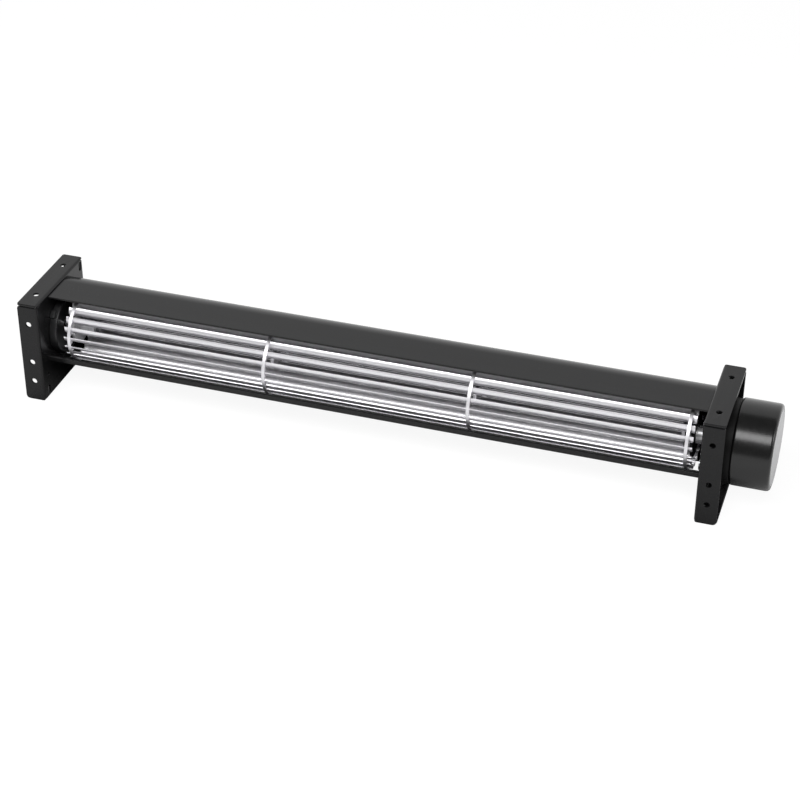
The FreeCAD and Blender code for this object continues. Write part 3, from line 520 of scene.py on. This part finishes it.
piece("motor_cap", *turned(
    [(split, 16.85), (split, 18.05), (end, 18.05), (end, 15.9), (end - 0.2, 15.9), (end - 0.2, 0),
     (end - 1.5, 0), (end - 1.5, 4.0), (end - 5.3, 4.0), (end - 5.3, 5.4), (end - 1.5, 5.4),
     (end - 1.5, 16.85)], 144, [0.1, 1.0, 1.7, 0.1, 0.05, 0, 0, 0.1, 0.1, 0.1, 0.3, 0.3]),
      gloss_case, "housing", "gloss_case", "motor_cap")

# End plate of the motor: a plain round plate of white-lacquered aluminium, glued into the
# shallow recess of the case and left bare.
white_plate = finish_of("white_plate", (0.61, 0.62, 0.63), (0.68, 0.68, 0.69), (0.30, 0.42),
                        metal=0.25, grain=(0.5, 0.5, 0.5), bump=0.05)
piece("motor_plate", *turned([(end - 0.2, 0.0), (end - 0.2, 15.8), (end, 15.8), (end, 0.0)], 96,
                             [0, 0.02, 0.08, 0]),
      white_plate, "housing", "white_plate", "motor_plate")

# What sits inside the carrier and the motor keeps the model's own shape: ground steel shaft
# and pin, sintered bronze bearings, felt, laminated core, windings, board, magnet and clips.
inner_finishes = {
    "steel": finish_of("ground_steel", (0.52, 0.52, 0.53), (0.66, 0.66, 0.67), (0.18, 0.30),
                       metal=1.0, grain=(6.0, 0.5, 0.5), bump=0.1),
    "black_rubber": rubber,
    "bronze": finish_of("sintered_bronze", (0.40, 0.25, 0.11), (0.56, 0.38, 0.18),
                        (0.35, 0.55), metal=1.0, grain=(4, 4, 4), bump=0.5),
    "felt": finish_of("oil_felt", (0.36, 0.33, 0.27), (0.56, 0.53, 0.47), (0.85, 0.95),
                      grain=(3, 3, 3), bump=1.0, shine=0.1),
    "core_steel": finish_of("core_steel", (0.22, 0.23, 0.25), (0.40, 0.41, 0.43),
                            (0.35, 0.55), metal=1.0, grain=(4.0, 0.1, 0.1), bump=0.8),
    "white_nylon": finish_of("white_nylon", (0.74, 0.74, 0.71), (0.82, 0.82, 0.80),
                             (0.40, 0.50), grain=(1, 1, 1), bump=0.1),
    "copper_winding": finish_of("copper_winding", (0.42, 0.14, 0.05), (0.72, 0.33, 0.13),
                                (0.22, 0.35), metal=1.0, grain=(0.3, 5.0, 0.3), bump=1.0),
    "green_board": finish_of("green_board", (0.010, 0.11, 0.035), (0.018, 0.16, 0.055),
                             (0.22, 0.34), grain=(1, 1, 1), bump=0.15, coat=0.3),
    "chip_black": finish_of("chip_black", (0.014, 0.014, 0.015), (0.026, 0.026, 0.027),
                            (0.50, 0.62), grain=(5, 5, 5), bump=0.4),
    "ferrite": finish_of("ferrite", (0.035, 0.035, 0.038), (0.075, 0.075, 0.080),
                         (0.55, 0.72), grain=(4, 4, 4), bump=0.5),
}
inner_nodes = {
    "steel": ["journal_pin", "motor_shaft", "rotor_sleeve", "set_screw", "retaining_clip"],
    "black_rubber": ["bearing_rubber", "lead_grommet"],
    "bronze": ["sleeve_bearing", "motor_bushes"],
    "felt": ["oil_felt"],
    "core_steel": ["stator_core"],
    "white_nylon": ["insulators", "thrust_washers"],
    "copper_winding": [f"coil_{number}" for number in range(1, 7)],
    "green_board": ["circuit_board"],
    "chip_black": ["hall_sensor"],
    "ferrite": ["magnet_ring"],
}
for slot, names in inner_nodes.items():
    for name in names:
        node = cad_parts[name]
        node.data.materials.clear()
        node.data.materials.append(inner_finishes[slot])

# The studio: a pale floor that rises behind the fan and keeps a faint shadow, one large soft
# lamp over the front and one from the right in a dim room, and the camera where the
# photograph was taken.
scene = bpy.context.scene
scene.view_settings.view_transform = "Standard"

floor_reach, curve_start, curve_radius, wall_top = 40, 1.2, 0.8, 5.0
turn = np.linspace(0, math.pi / 2, 13)
curve = np.stack([curve_start + curve_radius * np.sin(turn),
                  curve_radius - curve_radius * np.cos(turn)], 1)
sweep = np.concatenate([[(-floor_reach, 0)], curve, [(curve_start + curve_radius, wall_top)]])
floor_mesh = bpy.data.meshes.new("floor")
floor_mesh.from_pydata([(x, y, z) for y, z in sweep.tolist()
                        for x in (-floor_reach, floor_reach)], [],
                       [(2 * row, 2 * row + 1, 2 * row + 3, 2 * row + 2)
                        for row in range(len(sweep) - 1)])
floor = bpy.data.objects.new("floor", floor_mesh)
scene.collection.objects.link(floor)
pale = bpy.data.materials.new("pale_floor")
pale.use_nodes = True
tree = pale.node_tree
tree.nodes.remove(tree.nodes["Principled BSDF"])
matt = tree.nodes.new("ShaderNodeBsdfDiffuse")
matt.inputs["Color"].default_value = (0.16, 0.16, 0.16, 1)
glow = tree.nodes.new("ShaderNodeEmission")
glow.inputs["Color"].default_value = (0.92, 0.92, 0.92, 1)
# The floor is white to the camera. To gloss, its glow is painted darker by ambient occlusion where
# the fan stands close over it: a painted shade under the fan, which the fan's reflections show.
path = tree.nodes.new("ShaderNodeLightPath")
painted_shade_ao = tree.nodes.new("ShaderNodeAmbientOcclusion")
painted_shade_ao.inputs["Distance"].default_value = 0.07
painted_shade_ao.samples = 3
# Painted shade: the ambient occlusion turns down the floor's glow, as gloss sees it, under the fan
# and close round it.
glow_with_painted_shade = tree.nodes.new("ShaderNodeMapRange")
glow_with_painted_shade.inputs["From Min"].default_value = 0.4
glow_with_painted_shade.inputs["From Max"].default_value = 0.9
tree.links.new(painted_shade_ao.outputs["AO"], glow_with_painted_shade.inputs["Value"])
total = path.outputs["Is Camera Ray"]
for kind in ("Is Glossy Ray", "Is Transmission Ray"):
    share = tree.nodes.new("ShaderNodeMath")
    share.operation = "MULTIPLY_ADD"
    tree.links.new(path.outputs[kind], share.inputs[0])
    tree.links.new(glow_with_painted_shade.outputs["Result"], share.inputs[1])
    tree.links.new(total, share.inputs[2])
    total = share.outputs[0]
tree.links.new(total, glow.inputs["Strength"])
both = tree.nodes.new("ShaderNodeAddShader")
tree.links.new(matt.outputs[0], both.inputs[0])
tree.links.new(glow.outputs[0], both.inputs[1])
tree.links.new(both.outputs[0], tree.nodes["Material Output"].inputs["Surface"])
floor_mesh.materials.append(pale)

world = bpy.data.worlds.new("studio")
scene.world = world
world.use_nodes = True
tree = world.node_tree
tree.nodes["Background"].inputs["Color"].default_value = (1, 1, 1, 1)
tree.nodes["Background"].inputs["Strength"].default_value = 0.2


def soft_lamp(name, place, aim, size, power):
    """A rectangular lamp at a place, turned so that its light goes to the aim."""
    light = bpy.data.lights.new(name, "AREA")
    light.shape, light.size, light.size_y, light.energy = "RECTANGLE", *size, power
    lamp = bpy.data.objects.new(name, light)
    scene.collection.objects.link(lamp)
    lamp.location = place
    lamp.rotation_mode = "QUATERNION"
    lamp.rotation_quaternion = (Vector(aim) - Vector(place)).to_track_quat("-Z", "Y")


soft_lamp("over_the_front", (-0.2, -0.84, 1.03), (-0.1, 0, 0.03), (1.5, 0.45), 15.0)
soft_lamp("from_the_right", (1.3, -0.3, 0.7), (0, 0, 0.03), (0.5, 0.5), 5.0)

yaw, pitch, roll = (math.radians(angle) for angle in (17.697, 32.966, 0.25))
ahead = Vector((-math.sin(yaw) * math.cos(pitch), math.cos(yaw) * math.cos(pitch),
                -math.sin(pitch)))
right = Vector((math.cos(yaw), math.sin(yaw), 0))
above = right.cross(ahead)
lens = bpy.data.cameras.new("camera")
lens.sensor_width, lens.lens = 36.0, 93.28
lens.clip_start, lens.clip_end = 0.05, 30.0
camera = bpy.data.objects.new("camera", lens)
scene.collection.objects.link(camera)
camera.matrix_world = Matrix.Translation((0.22813, -0.70600, 0.49860)) @ Matrix((
    right * math.cos(roll) + above * math.sin(roll),
    above * math.cos(roll) - right * math.sin(roll), -ahead)).transposed().to_4x4()
scene.camera = camera
